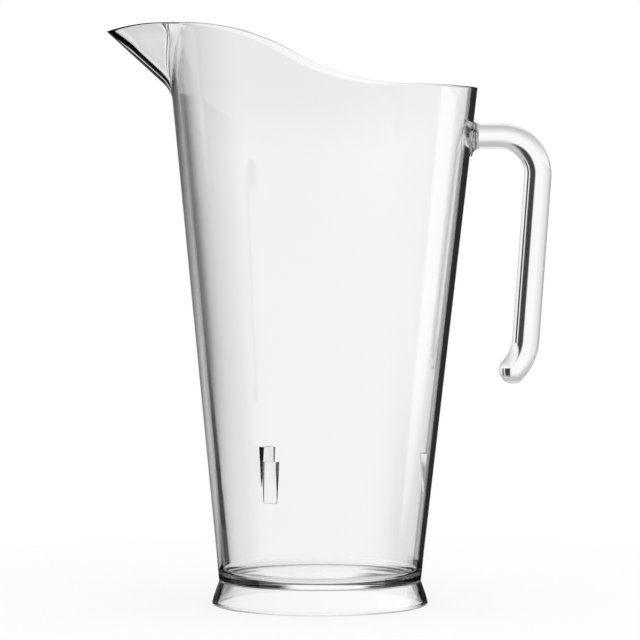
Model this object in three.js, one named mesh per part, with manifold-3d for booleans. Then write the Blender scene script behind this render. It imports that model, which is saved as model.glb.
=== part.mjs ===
// Clear plastic cocktail jug: a tapered vessel with a pulled beak, a hook handle, a hollow foot
// ring and three stacking lugs. Millimetres, +Z up, beak towards -X, handle towards +X. The pieces
// are drawn about the centre of the foot, and the finished jug is centred between beak and handle,
// so that the origin lies on the table under the middle of its outline.

import * as THREE from 'three';
import { mergeVertices } from 'three/addons/utils/BufferGeometryUtils.js';
import Module from 'manifold-3d';

const wasm = await Module();
wasm.setup();

// Vessel wall and floor
const WALL = 2.5;
const BASE_Z = 11.2;
const BASE_RADIUS = 47;
const BASE_CHAMFER = 0.7;
const MOUTH_Z = 241.8;
const MOUTH_RADIUS = 71.3;
const MOUTH_SHIFT_X = 2.1;
const FLOOR_THICKNESS = 2.5;
const FLOOR_FILLET = 3.5;

// Rim, seen from the side: a slight dip at the handle, an S sweep of two arcs, a drooping tip
const SWEEP_RISE = 27.9;
const SWEEP_START_X = 37.5;
const SWEEP_END_X = -66;
const HANDLE_DIP = 2;
const TIP_DROOP = 3.1;
const DROOP_RUN = 26;

// Beak: a rounded V in plan whose keel climbs from the wall to the tip
const BEAK_REACH = 27.8;
const KEEL_RUN = 1.095;
const BEAK_HALF_ANGLE = THREE.MathUtils.degToRad(29);
const KEEL_ROUND = THREE.MathUtils.degToRad(4.4);
const CREASE_BLEND = 6;

// Handle
const HANDLE_BELOW_MOUTH = 24.4;
const HANDLE_ROOT_RADIUS = 5.9;
const HANDLE_GRIP_RADIUS = 6.3;
const ROOT_FILLET = 3.6;
const BAR_LENGTH = 13.3;
const BEND_RADIUS = 17.5;
const LEG_LEAN = THREE.MathUtils.degToRad(4.1);
const LEG_LENGTH = 76.3;
const TAIL_BEND_RADIUS = 22.6;
const TAIL_TURN = THREE.MathUtils.degToRad(39);
const SPIGOT_RADIUS = 4.5;
const SPIGOT_DEPTH = 1;

// Foot ring
const FOOT_FLARE = 3.4;
const FOOT_WALL = 2.8;
const FOOT_EDGE = 0.9;
const TONGUE_HEIGHT = 1;
const TONGUE_WIDTH = 1.2;

// Stacking lugs
const LUG_TOP_Z = 70;
const LUG_HEIGHT = 19;
const LUG_LEDGE = 4.4;
const LUG_TOE = 0.6;
const LUG_WIDTH = 7.5;
const LUGS = { handle_side: 0, front: -120, back: 120 };

// Clearance between pieces that are bonded to each other
const JOINT_GAP = 0.3;

// Facets
const BEAK_FACETS = 36;
const ROUND_FACETS = 60;
const HANDLE_FACETS = 20;
const FOOT_FACETS = 72;

const clearPlastic = new THREE.MeshStandardMaterial({
  color: 0xf2f4f4, roughness: 0.06, metalness: 0, transparent: true, opacity: 0.35,
});

// Joins and cuts work on solids whose corners are shared
function toSolid(geometry) {
  const bare = geometry.clone();
  bare.deleteAttribute('normal');
  bare.deleteAttribute('uv');
  const merged = mergeVertices(bare);
  return new wasm.Manifold(new wasm.Mesh({
    numProp: 3,
    vertProperties: new Float32Array(merged.attributes.position.array),
    triVerts: new Uint32Array(merged.index.array),
  }));
}

function toGeometry(solid) {
  const { vertProperties, triVerts } = solid.getMesh();
  const geometry = new THREE.BufferGeometry();
  geometry.setAttribute('position', new THREE.BufferAttribute(vertProperties, 3));
  geometry.setIndex(new THREE.BufferAttribute(triVerts, 1));
  geometry.computeVertexNormals();
  return geometry;
}

// A closed skin over rings of equal length, shut by a pole at each end
function loft(firstPole, rings, lastPole) {
  const count = rings[0].length;
  const points = [firstPole, ...rings.flat(), lastPole];
  const at = (ring, step) => 1 + ring * count + (step % count);
  const triangles = [];
  for (let step = 0; step < count; step++) {
    triangles.push(0, at(0, step + 1), at(0, step));
    for (let ring = 0; ring + 1 < rings.length; ring++) {
      triangles.push(at(ring, step), at(ring, step + 1), at(ring + 1, step + 1));
      triangles.push(at(ring, step), at(ring + 1, step + 1), at(ring + 1, step));
    }
    triangles.push(points.length - 1, at(rings.length - 1, step), at(rings.length - 1, step + 1));
  }
  const skin = new THREE.BufferGeometry().setFromPoints(points);
  skin.setIndex(triangles);
  skin.computeVertexNormals();
  return skin;
}

// Vessel outline. Turn is the angle about the vessel's axis, 0 at the beak; inset is how far a
// skin lies inside the outer one.
const rise = (z) => (z - BASE_Z) / (MOUTH_Z - BASE_Z);
const axisX = (z) => MOUTH_SHIFT_X * rise(z);
const coneRadius = (z) => THREE.MathUtils.lerp(BASE_RADIUS, MOUTH_RADIUS, rise(z));
const rimTopZ = MOUTH_Z + SWEEP_RISE;
const tipZ = rimTopZ - TIP_DROOP;
const tipX = axisX(tipZ) - coneRadius(tipZ) - BEAK_REACH;
const keelX = (z) => tipX + (tipZ - z) * KEEL_RUN;
const beakInset = Math.hypot(1, KEEL_RUN * Math.sin(BEAK_HALF_ANGLE));

function beakRadius(turn, z, inset) {
  const sideDistance = (axisX(z) - keelX(z)) * Math.sin(BEAK_HALF_ANGLE + KEEL_ROUND);
  const side = Math.sin(BEAK_HALF_ANGLE + Math.hypot(turn, KEEL_ROUND));
  return (sideDistance - inset * beakInset) / side;
}

// The larger of two radii, with the crease between them filled by a soft fillet
function blendedRadius(turn, z, inset) {
  const cone = coneRadius(z) - inset;
  if (Math.abs(turn) > Math.PI / 3) return cone;
  const beak = beakRadius(turn, z, inset);
  const overlap = Math.max(CREASE_BLEND - Math.abs(cone - beak), 0);
  return Math.max(cone, beak) + overlap ** 2 / (4 * CREASE_BLEND);
}

function skinPoint(turn, z, inset) {
  const radius = blendedRadius(turn, z, inset);
  return new THREE.Vector3(axisX(z) - radius * Math.cos(turn), -radius * Math.sin(turn), z);
}

// Height of the rim above the table at a place along X
const sweepRun = SWEEP_START_X - SWEEP_END_X;
const sweepRadius = (sweepRun ** 2 + SWEEP_RISE ** 2) / (4 * SWEEP_RISE);
const arcDrop = (run) => sweepRadius - Math.sqrt(sweepRadius ** 2 - run ** 2);

function rimHeight(x) {
  const handleRun = (x - SWEEP_START_X) / (MOUTH_SHIFT_X + MOUTH_RADIUS - SWEEP_START_X);
  if (handleRun > 0) return MOUTH_Z - HANDLE_DIP * handleRun ** 2;
  if (x > SWEEP_START_X - sweepRun / 2) return MOUTH_Z + arcDrop(SWEEP_START_X - x);
  if (x > SWEEP_END_X) return rimTopZ - arcDrop(x - SWEEP_END_X);
  const droopShare = Math.max(tipX + DROOP_RUN - x, 0) / DROOP_RUN;
  return rimTopZ - TIP_DROOP * droopShare ** 2;
}

function rimZ(turn) {
  const SETTLING_ROUNDS = 24;
  let z = MOUTH_Z;
  for (let round = 0; round < SETTLING_ROUNDS; round++) {
    z = rimHeight(skinPoint(turn, z, WALL / 2).x);
  }
  return z;
}

// Facet corners stand closer together across the beak
const BEAK_SPAN = THREE.MathUtils.degToRad(32);
const turns = [];
for (let i = 0; i < BEAK_FACETS; i++) {
  turns.push(THREE.MathUtils.lerp(-BEAK_SPAN, BEAK_SPAN, i / BEAK_FACETS));
}
for (let i = 0; i < ROUND_FACETS; i++) {
  turns.push(THREE.MathUtils.lerp(BEAK_SPAN, 2 * Math.PI - BEAK_SPAN, i / ROUND_FACETS));
}
const wrapped = (turn) => Math.atan2(Math.sin(turn), Math.cos(turn));
const stations = turns.map((turn) => ({ turn: wrapped(turn), rimZ: rimZ(wrapped(turn)) }));

const levelRing = (z, inset) => stations.map(({ turn }) => skinPoint(turn, z, inset));

// A ring about the foot's upright axis, inset from the edge of the base
function flatRing(z, inset) {
  const radius = BASE_RADIUS - inset;
  return stations.map(({ turn }) => (
    new THREE.Vector3(-radius * Math.cos(turn), -radius * Math.sin(turn), z)
  ));
}

// Upper wall rings follow the rim, from just under the beak
const beakWallSlope = (MOUTH_RADIUS - MOUTH_SHIFT_X - BASE_RADIUS) / (MOUTH_Z - BASE_Z);
const beakFootZ = tipZ - (BEAK_REACH + CREASE_BLEND) / (KEEL_RUN - beakWallSlope);
const UPPER_SHARES = [0, 0.16, 0.32, 0.48, 0.64, 0.82, 1];
const rimRound = WALL / 2;

function upperRings(inset) {
  return UPPER_SHARES.map((share) => stations.map((station) => skinPoint(
    station.turn,
    THREE.MathUtils.lerp(beakFootZ, station.rimZ - rimRound, share),
    inset,
  )));
}

function rimRings() {
  return [45, 90, 135].map((degrees) => {
    const angle = THREE.MathUtils.degToRad(degrees);
    const inset = rimRound * (1 - Math.cos(angle));
    const drop = rimRound * (1 - Math.sin(angle));
    return stations.map((station) => skinPoint(station.turn, station.rimZ - drop, inset));
  });
}

// The round inside corner between wall and floor
const floorTop = BASE_Z + FLOOR_THICKNESS;

function filletRings() {
  return [0, 22.5, 45, 67.5, 90].map((degrees) => {
    const angle = THREE.MathUtils.degToRad(degrees);
    const z = floorTop + FLOOR_FILLET * (1 - Math.sin(angle));
    return levelRing(z, WALL + FLOOR_FILLET * (1 - Math.cos(angle)));
  });
}

// A plain cone along the vessel's wall, its radius grown or shrunk by a margin
function wallCone(margin) {
  const ring = (z) => stations.map(({ turn }) => {
    const radius = coneRadius(z) + margin;
    return new THREE.Vector3(axisX(z) - radius * Math.cos(turn), -radius * Math.sin(turn), z);
  });
  const pole = (z) => new THREE.Vector3(axisX(z), 0, z);
  return toSolid(loft(pole(BASE_Z), [ring(BASE_Z), ring(MOUTH_Z)], pole(MOUTH_Z)));
}

// The handle's seat on the wall, and the direction square to the wall there
const handleZ = MOUTH_Z - HANDLE_BELOW_MOUTH;
const seatX = axisX(handleZ) + coneRadius(handleZ);
const bendX = seatX + BAR_LENGTH;
const wallSlope = (MOUTH_RADIUS + MOUTH_SHIFT_X - BASE_RADIUS) / (MOUTH_Z - BASE_Z);
const wallTilt = Math.atan(wallSlope);

// A round peg square to the wall at the handle's seat, from below the skin to above it
function seatPeg(radius, below, above) {
  const peg = new THREE.CylinderGeometry(radius, radius, below + above, HANDLE_FACETS);
  peg.translate(0, (above - below) / 2, 0);
  peg.rotateZ(-Math.PI / 2);
  peg.rotateY(wallTilt);
  peg.translate(seatX, 0, handleZ);
  return toSolid(peg);
}

// The foot ring leans out from the edge of the floor to the table, and the tongue on its top
// stands in a groove under the floor
const footTopZ = BASE_Z - JOINT_GAP;
const footRadius = BASE_RADIUS + FOOT_FLARE;
const tongueInner = BASE_RADIUS - FOOT_WALL;
const tongueOuter = tongueInner + TONGUE_WIDTH;
const tongueTopZ = footTopZ + TONGUE_HEIGHT;

function jugBody() {
  const grooveTopZ = tongueTopZ + JOINT_GAP;
  const grooveInset = BASE_RADIUS - tongueOuter - JOINT_GAP;
  const grooveInnerInset = BASE_RADIUS - tongueInner + JOINT_GAP;
  const rings = [
    flatRing(BASE_Z, grooveInnerInset),
    flatRing(grooveTopZ, grooveInnerInset),
    flatRing(grooveTopZ, grooveInset),
    flatRing(BASE_Z, grooveInset),
    levelRing(BASE_Z, BASE_CHAMFER),
    levelRing(BASE_Z + BASE_CHAMFER, 0),
    ...upperRings(0),
    ...rimRings(),
    ...upperRings(WALL).reverse(),
    ...filletRings(),
  ];
  const underside = new THREE.Vector3(0, 0, BASE_Z);
  const floorCentre = new THREE.Vector3(axisX(floorTop), 0, floorTop);
  const vessel = toSolid(loft(underside, rings, floorCentre));
  const socket = seatPeg(SPIGOT_RADIUS + JOINT_GAP, SPIGOT_DEPTH + JOINT_GAP, WALL);
  return toGeometry(vessel.subtract(socket));
}

// The handle's centre line runs out from the wall, round the bend, down the leg and into the tail
function handleLine() {
  const line = new THREE.Path();
  line.moveTo(seatX + ROOT_FILLET, handleZ);
  line.lineTo(bendX, handleZ);
  line.absarc(bendX, handleZ - BEND_RADIUS, BEND_RADIUS, Math.PI / 2, -LEG_LEAN, true);
  const bendEnd = line.currentPoint.clone();
  const legDown = new THREE.Vector2(-Math.sin(LEG_LEAN), -Math.cos(LEG_LEAN));
  const legEnd = bendEnd.addScaledVector(legDown, LEG_LENGTH);
  line.lineTo(legEnd.x, legEnd.y);
  const tailX = legEnd.x - TAIL_BEND_RADIUS * Math.cos(LEG_LEAN);
  const tailZ = legEnd.y + TAIL_BEND_RADIUS * Math.sin(LEG_LEAN);
  line.absarc(tailX, tailZ, TAIL_BEND_RADIUS, -LEG_LEAN, -LEG_LEAN - TAIL_TURN, true);
  return line;
}

function handleRing(x, z, along, radius) {
  return Array.from({ length: HANDLE_FACETS }, (_, i) => {
    const angle = 2 * Math.PI * i / HANDLE_FACETS;
    const across = radius * Math.sin(angle);
    return new THREE.Vector3(
      x - along.y * across,
      radius * Math.cos(angle),
      z + along.x * across,
    );
  });
}

// Root flare: a quarter round fillet that starts inside the wall, to be cut to the wall's curve
function rootRings() {
  const outward = new THREE.Vector2(1, 0);
  const flare = HANDLE_ROOT_RADIUS + ROOT_FILLET;
  const rings = [handleRing(seatX - ROOT_FILLET, handleZ, outward, flare)];
  for (const degrees of [0, 22.5, 45, 67.5]) {
    const angle = THREE.MathUtils.degToRad(degrees);
    const x = seatX + ROOT_FILLET * (1 - Math.cos(angle));
    rings.push(handleRing(x, handleZ, outward, flare - ROOT_FILLET * Math.sin(angle)));
  }
  return rings;
}

function gripRings() {
  const [bar, bend, leg, tail] = handleLine().curves;
  const rings = [];
  const addRings = (curve, steps, radiusAt) => {
    for (let i = 0; i < steps; i++) {
      const { x, y } = curve.getPointAt(i / steps);
      rings.push(handleRing(x, y, curve.getTangentAt(i / steps), radiusAt(i / steps)));
    }
  };
  addRings(bar, 1, () => HANDLE_ROOT_RADIUS);
  addRings(bend, 12, (share) => THREE.MathUtils.lerp(HANDLE_ROOT_RADIUS, HANDLE_GRIP_RADIUS, share));
  addRings(leg, 1, () => HANDLE_GRIP_RADIUS);
  addRings(tail, 5, () => HANDLE_GRIP_RADIUS);
  const end = tail.getPointAt(1);
  const along = tail.getTangentAt(1);
  for (const degrees of [0, 25, 50, 72]) {
    const angle = THREE.MathUtils.degToRad(degrees);
    const centre = end.clone().addScaledVector(along, HANDLE_GRIP_RADIUS * Math.sin(angle));
    rings.push(handleRing(centre.x, centre.y, along, HANDLE_GRIP_RADIUS * Math.cos(angle)));
  }
  const tip = end.addScaledVector(along, HANDLE_GRIP_RADIUS);
  return { rings, tip: new THREE.Vector3(tip.x, 0, tip.y) };
}

function handle() {
  const grip = gripRings();
  const rootPole = new THREE.Vector3(seatX - ROOT_FILLET, 0, handleZ);
  const bar = toSolid(loft(rootPole, [...rootRings(), ...grip.rings], grip.tip));
  const spigot = seatPeg(SPIGOT_RADIUS, SPIGOT_DEPTH, ROOT_FILLET);
  return toGeometry(bar.subtract(wallCone(JOINT_GAP)).add(spigot));
}

// The foot's section is traced down its bore, round both lower edges and up its outside
function footRing() {
  const section = new THREE.Path();
  const innerFootRadius = footRadius - FOOT_WALL;
  section.moveTo(tongueInner, tongueTopZ);
  section.lineTo(innerFootRadius, FOOT_EDGE);
  section.absarc(innerFootRadius + FOOT_EDGE, FOOT_EDGE, FOOT_EDGE, Math.PI, 1.5 * Math.PI, false);
  section.absarc(footRadius - FOOT_EDGE, FOOT_EDGE, FOOT_EDGE, -Math.PI / 2, 0, false);
  section.lineTo(BASE_RADIUS, footTopZ);
  section.lineTo(tongueOuter, footTopZ);
  section.lineTo(tongueOuter, tongueTopZ);
  section.lineTo(tongueInner, tongueTopZ);
  const EDGE_STEPS = 3;
  const ring = new THREE.LatheGeometry(section.getPoints(EDGE_STEPS), FOOT_FACETS);
  ring.rotateX(Math.PI / 2);
  return toGeometry(toSolid(ring));
}

// A lug is a block whose face leans back to a thin toe, cut at the back to the slope of the wall
function stackingLug(degrees) {
  const ledgeRadius = coneRadius(LUG_TOP_Z) - WALL - LUG_LEDGE;
  const toeRadius = coneRadius(LUG_TOP_Z - LUG_HEIGHT) - WALL - LUG_TOE;
  const block = new THREE.BoxGeometry(2 * LUG_LEDGE + WALL, LUG_WIDTH, LUG_HEIGHT);
  const corners = block.attributes.position;
  for (let i = 0; i < corners.count; i++) {
    const onToe = corners.getX(i) < 0 && corners.getZ(i) < 0;
    if (onToe) corners.setX(i, corners.getX(i) + toeRadius - ledgeRadius);
  }
  block.translate(ledgeRadius + LUG_LEDGE + WALL / 2, 0, LUG_TOP_Z - LUG_HEIGHT / 2);
  block.rotateZ(THREE.MathUtils.degToRad(degrees));
  block.translate(axisX(LUG_TOP_Z), 0, 0);
  return toGeometry(toSolid(block).intersect(wallCone(-WALL - JOINT_GAP)));
}

const jug = new THREE.Group();

function addPiece(name, geometry) {
  const mesh = new THREE.Mesh(geometry, clearPlastic.clone());
  mesh.name = name;
  jug.add(mesh);
}

addPiece('jug_body', jugBody());
addPiece('handle', handle());
addPiece('foot_ring', footRing());
for (const [place, degrees] of Object.entries(LUGS)) {
  addPiece(`stacking_lug_${place}`, stackingLug(degrees));
}

const outline = new THREE.Box3().setFromObject(jug);
jug.position.x = -(outline.min.x + outline.max.x) / 2;

const group = new THREE.Group();
group.add(jug);

export default group;
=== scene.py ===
"""Clear plastic cocktail jug: a tapered vessel with a pulled beak, a hook handle, a hollow foot ring
and three stacking lugs, in a soft white studio. Metres, +Z up, beak towards -X, handle towards +X."""

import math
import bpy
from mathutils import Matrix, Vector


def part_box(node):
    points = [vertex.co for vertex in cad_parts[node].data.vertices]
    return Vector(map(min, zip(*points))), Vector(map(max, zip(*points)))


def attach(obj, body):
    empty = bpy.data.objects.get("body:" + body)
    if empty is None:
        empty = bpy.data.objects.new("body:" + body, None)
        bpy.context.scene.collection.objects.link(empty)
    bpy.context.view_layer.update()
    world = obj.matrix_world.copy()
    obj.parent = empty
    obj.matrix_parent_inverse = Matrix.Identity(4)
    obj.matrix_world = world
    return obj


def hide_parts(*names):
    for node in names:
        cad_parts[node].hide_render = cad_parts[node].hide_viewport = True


bl_info = {
    "name": "Clear Cocktail Jug",
    "version": (1, 0, 0),
    "blender": (4, 5, 0),
    "location": "View3D > Sidebar > Jug",
    "description": "Builds a clear moulded cocktail jug on its frame and sets it in a soft white studio",
    "category": "Add Mesh",
}

import bmesh
import bpy
import numpy as np
from bpy.props import (
    FloatProperty,
    FloatVectorProperty,
    IntProperty,
    PointerProperty,
)
from mathutils import Vector

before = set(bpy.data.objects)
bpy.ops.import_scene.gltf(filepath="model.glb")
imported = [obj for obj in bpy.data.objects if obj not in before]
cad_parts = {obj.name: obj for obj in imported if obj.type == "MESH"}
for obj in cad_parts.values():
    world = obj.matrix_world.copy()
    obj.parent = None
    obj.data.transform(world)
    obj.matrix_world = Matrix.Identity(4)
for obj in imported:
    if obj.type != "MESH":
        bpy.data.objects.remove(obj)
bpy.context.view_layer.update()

# Places that the frame gives: the foot's centre line, the floor's underside and the top of the rim
FOOT_LOW, FOOT_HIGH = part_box("foot_ring")
BODY_LOW, BODY_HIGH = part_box("jug_body")
LUG_LOW, LUG_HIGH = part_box("stacking_lug_handle_side")
FOOT_X = (FOOT_LOW.x + FOOT_HIGH.x) / 2
FOOT_RADIUS = (FOOT_HIGH.y - FOOT_LOW.y) / 2
LUG_NODES = [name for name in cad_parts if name.startswith("stacking_lug")]

# Loops this close to a rounded edge keep the shading of the flat wall beside it true
SUPPORT_LOOP = 0.0002
SHARP_TURN = math.radians(16)

# Scales of the ripples in walls and bars and of the worn patches, and the noise levels that count as worn
WALL_RIPPLES, BAR_RIPPLES, WORN_PATCHES = 45.0, 90.0, 35.0
WORN_RANGE = (0.5, 0.8)
# Light passes the bond between two fused pieces almost without bending
BOND_BEND = 1.0005
WHITE = (1.0, 1.0, 1.0)


def length(label, about, metres):
    """A size that the sidebar shows in the scene's units."""
    return FloatProperty(
        name=label, description=about, default=metres, unit="LENGTH", precision=4
    )


def angle(label, about, degrees):
    """An angle that the sidebar shows in degrees."""
    return FloatProperty(
        name=label, description=about, default=math.radians(degrees), subtype="ANGLE"
    )


def share(label, about, value, low=0.0, high=1.0):
    """A plain number between two limits."""
    return FloatProperty(
        name=label, description=about, default=value, min=low, max=high, precision=4
    )


def spans(label, about, ends):
    """Two places along one line."""
    return FloatVectorProperty(name=label, description=about, size=2, default=ends, unit="LENGTH")


def turns(label, about, ends):
    """Two angles about one axis."""
    radians = tuple(map(math.radians, ends))
    return FloatVectorProperty(name=label, description=about, size=2, default=radians, subtype="EULER")


class JugVessel(bpy.types.PropertyGroup):
    """Sizes of the vessel, its rim and its beak"""

    wall: length("Wall", "Thickness of the moulded wall", 0.0025)
    base_height: length("Base height", "Underside of the floor above the table", BODY_LOW.z)
    base_radius: length("Base radius", "Outer radius at the underside of the floor", 0.047)
    base_edge: length("Base edge", "Rounding of the lower outside edge", 0.0007)
    rim_top: length("Rim top", "Highest point of the rim above the table", BODY_HIGH.z)
    mouth_radius: length("Mouth radius", "Outer radius at the low side of the rim", 0.07119)
    mouth_shift: length("Mouth shift", "How far the mouth's centre lies towards the handle", 0.0021)
    floor: length("Floor", "Thickness of the floor", 0.0025)
    floor_fillet: length("Floor fillet", "Inside corner between the wall and the floor", 0.0035)
    sweep_rise: length("Sweep rise", "Climb of the rim from the handle side to the beak", 0.0279)
    sweep_start: length("Sweep start", "Where the rim starts to climb, from the foot's centre", 0.0375)
    sweep_end: length("Sweep end", "Where the rim stops climbing, from the foot's centre", -0.066)
    handle_dip: length("Handle dip", "Dip of the rim above the handle", 0.002)
    tip_droop: length("Tip droop", "Drop of the rim at the tip of the beak", 0.0045)
    droop_run: length("Droop run", "Length of rim over which the tip droops", 0.026)
    beak_reach: length("Beak reach", "How far the tip stands out from the wall", 0.0267)
    keel_run: share("Keel run", "Run of the keel for each unit that it climbs", 1.095, 0.2, 3.0)
    beak_half_angle: angle("Beak half angle", "Half of the V of the beak in plan", 29)
    keel_round: angle("Keel round", "Softness of the V's point", 4.4)
    crease: length("Crease", "Softness of the crease between the beak and the wall", 0.004)
    rim_edge: length("Rim edge", "Rounding of the two edges of the flat rim", 0.0004)
    lip: length("Lip", "Thickness of the beak's lip at the rim", 0.0009)
    lip_height: length("Lip height", "How far below the rim the beak's lip starts to thin out", 0.008)

    @property
    def mouth_height(self):
        return self.rim_top - self.sweep_rise

    @property
    def floor_top(self):
        return self.base_height + self.floor


class JugHandle(bpy.types.PropertyGroup):
    """Sizes of the hook handle"""

    below_mouth: length("Below mouth", "Drop of the bar's centre line under the low rim", 0.0244)
    root_radius: length("Root radius", "Radius of the bar at the wall", 0.0059)
    grip_radius: length("Grip radius", "Radius of the bar along the grip", 0.0063)
    root_fillet: length("Root fillet", "Flare of the bar where it meets the wall", 0.0036)
    bar_length: length("Bar length", "Straight run from the wall to the bend", 0.0133)
    bend_radius: length("Bend radius", "Radius of the upper bend's centre line", 0.0175)
    leg_lean: angle("Leg lean", "Lean of the grip towards the vessel", 4.1)
    leg_length: length("Leg length", "Straight run of the grip", 0.0763)
    tail_radius: length("Tail radius", "Radius of the lower bend's centre line", 0.0226)
    tail_turn: angle("Tail turn", "Turn of the lower bend", 39)
    facets: IntProperty(name="Facets", description="Faces round the bar", default=96, min=12)


class JugFoot(bpy.types.PropertyGroup):
    """Sizes of the hollow foot ring"""

    radius: length("Foot radius", "Outer radius on the table", FOOT_RADIUS)
    wall: length("Foot wall", "Thickness of the foot's wall", 0.0028)
    edge: length("Foot edge", "Rounding of the foot's lower edges", 0.0009)
    facets: IntProperty(name="Facets", description="Faces round the foot", default=384, min=24)


class JugLugs(bpy.types.PropertyGroup):
    """Sizes of the stacking lugs"""

    count: IntProperty(name="Count", description="Lugs round the wall", default=len(LUG_NODES), min=1)
    top: length("Lug top", "Height of the ledges above the table", LUG_HIGH.z)
    height: length("Lug height", "Height of each lug", LUG_HIGH.z - LUG_LOW.z)
    ledge: length("Ledge", "Depth of the ledge on top of each lug", 0.0044)
    width: length("Lug width", "Width of each lug", LUG_HIGH.y - LUG_LOW.y)
    toe: length("Toe", "Depth that is left at the lower end of each lug", 0.0001)
    draft: angle("Draft", "Lean of the lugs' sides, so that they leave the mould", 4)
    edge: length("Lug edge", "Rounding of the lugs' edges", 0.0002)


class JugFinish(bpy.types.PropertyGroup):
    """Finish of the clear plastic"""

    tint: FloatVectorProperty(
        name="Tint",
        description="Colour of the light that passes one wall",
        subtype="COLOR",
        default=(0.995, 0.995, 0.995),
        min=0.0,
        max=1.0,
    )
    bend: share("Refraction", "Refractive index of the plastic", 1.585, 1.0, 2.0)
    haze: share("Haze", "Roughness of the most handled patches", 0.03)
    flow: length("Flow marks", "Height of the faint ripples left by moulding", 0.00002)
    bond: length("Bond", "How far pieces that are bonded together reach into each other", 0.00005)


class JugStage(bpy.types.PropertyGroup):
    """The studio: camera, floor and light"""

    camera_distance: length("Camera distance", "Distance of the camera on the table's plane", 2.0)
    camera_turn: angle("Camera turn", "Turn of the camera towards the handle side", -2.3)
    camera_height: length("Camera height", "Height of the camera above the table", 0.236)
    aim_height: length("Aim height", "Height of the point that the camera looks at", 0.1322)
    lens: FloatProperty(name="Lens", description="Focal length", default=242.6, subtype="DISTANCE_CAMERA")
    floor_radius: length("Floor radius", "Radius of the round floor", 0.3)
    flag_level: share("Flag level", "How bright the dark flags are", 0.005)
    wall_contrast: share("Wall contrast", "How much of the far flags shows through the walls", 0.5)
    low_flag_radius: length("Low flag radius", "Distance of the low flags from the foot's centre", 0.15)
    low_edge_flag: spans("Low edge flag", "Lower and upper edge of the low flags for edges", (-0.1, -0.001))
    low_shelf: spans("Low shelf", "Inner and outer radius of the low shelves", (0.08, 0.6))
    low_shelf_height: length("Low shelf height", "Height of the low shelves above the table", 0.03)
    low_flag_span: turns("Low flag span", "Turns of the low flags' ends from behind the jug", (0, 80))
    low_flag_fade: turns("Low flag fade", "Turns where the low flags go from white to black", (9, 15))
    skin_flag: spans("Skin flag", "Lower and upper edge of the flags for the foot's skin", (0.0, 0.013))
    skin_flag_radius: length("Skin flag radius", "Distance of these flags from the foot's centre", 0.08)
    skin_flag_span: turns("Skin flag span", "Turns of these flags' ends from behind the jug", (15, 125))
    floor_level: share("Floor level", "How bright the floor is to the camera", 0.98, 0.0, 2.0)
    shadow_share: share("Shadow", "How much of the floor's own shading shows", 0.2)
    fill: share("Fill", "Level of the even light from all sides", 0.85, 0.0, 2.0)


# Outline of the vessel, drawn about the foot's centre. Turn is the angle about the vessel's axis,
# 0 at the beak; inset is how far a skin lies inside the outer one.


def rise(v, z):
    return (z - v.base_height) / (v.mouth_height - v.base_height)


def axis_x(v, z):
    return v.mouth_shift * rise(v, z)


def cone_radius(v, z):
    return v.base_radius + (v.mouth_radius - v.base_radius) * rise(v, z)


def beak_tip(v):
    """(X, Z) of the nominal tip of the beak."""
    z = v.rim_top - v.tip_droop
    return axis_x(v, z) - cone_radius(v, z) - v.beak_reach, z


def skin_radius(v, turn, z, inset):
    """Radius of the vessel: the larger of cone and beak, with a soft fillet in the crease."""
    tip_x, tip_z = beak_tip(v)
    keel_x = tip_x + (tip_z - z) * v.keel_run
    square = math.hypot(1, v.keel_run * math.sin(v.beak_half_angle))
    side = (axis_x(v, z) - keel_x) * math.sin(v.beak_half_angle + v.keel_round)
    beak_limit = math.radians(60)
    near = np.abs(turn) < beak_limit
    flank = v.beak_half_angle + np.hypot(np.where(near, turn, 0), v.keel_round)
    beak = np.where(near, (side - inset * square) / np.sin(flank), 0)
    cone = cone_radius(v, z) - inset
    overlap = np.maximum(v.crease - np.abs(cone - beak), 0)
    return np.maximum(cone, beak) + overlap**2 / (4 * v.crease)


def skin(v, turn, z, inset):
    """Points of the skin at these turns and heights, as rows of X, Y, Z."""
    radius = skin_radius(v, turn, z, inset)
    x = axis_x(v, z) - radius * np.cos(turn)
    return np.stack([x, -radius * np.sin(turn), z + 0 * turn], axis=1)


def rim_height(v, x):
    """Height of the rim at a place along X: handle dip, two arcs of the sweep, drooping tip."""
    run = v.sweep_start - v.sweep_end
    arc = (run**2 + v.sweep_rise**2) / (4 * v.sweep_rise)
    half = run / 2

    def drop(along):
        return arc - np.sqrt(arc**2 - np.clip(along, 0, half) ** 2)

    handle_run = v.mouth_shift + v.mouth_radius - v.sweep_start
    dip = v.handle_dip * np.maximum((x - v.sweep_start) / handle_run, 0) ** 2
    droop = np.maximum(beak_tip(v)[0] + v.droop_run - x, 0) / v.droop_run
    low = v.mouth_height - dip + drop(v.sweep_start - x)
    high = v.rim_top - drop(x - v.sweep_end) - v.tip_droop * droop**2
    return np.where(x > v.sweep_start - half, low, high)


def rim_line(v, turn):
    """Height of the rim's crest at each turn, settled on the middle of the wall."""
    settling_rounds = 24
    z = np.full_like(turn, v.mouth_height)
    for _ in range(settling_rounds):
        z = rim_height(v, skin(v, turn, z, v.wall / 2)[:, 0])
    return z


def bore_inset(v, turn, crest, z):
    """How far the inside lies within the outside: the wall, which thins out towards the beak's lip."""
    proud = skin_radius(v, turn, crest, 0) - cone_radius(v, crest)
    share_of_beak = np.clip(proud / v.lip_height, 0, 1)
    climbed = np.clip(1 - (crest - z) / v.lip_height, 0, 1)
    lip_curve = 1.5
    return v.wall - share_of_beak * (v.wall - v.lip) * climbed**lip_curve


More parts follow.
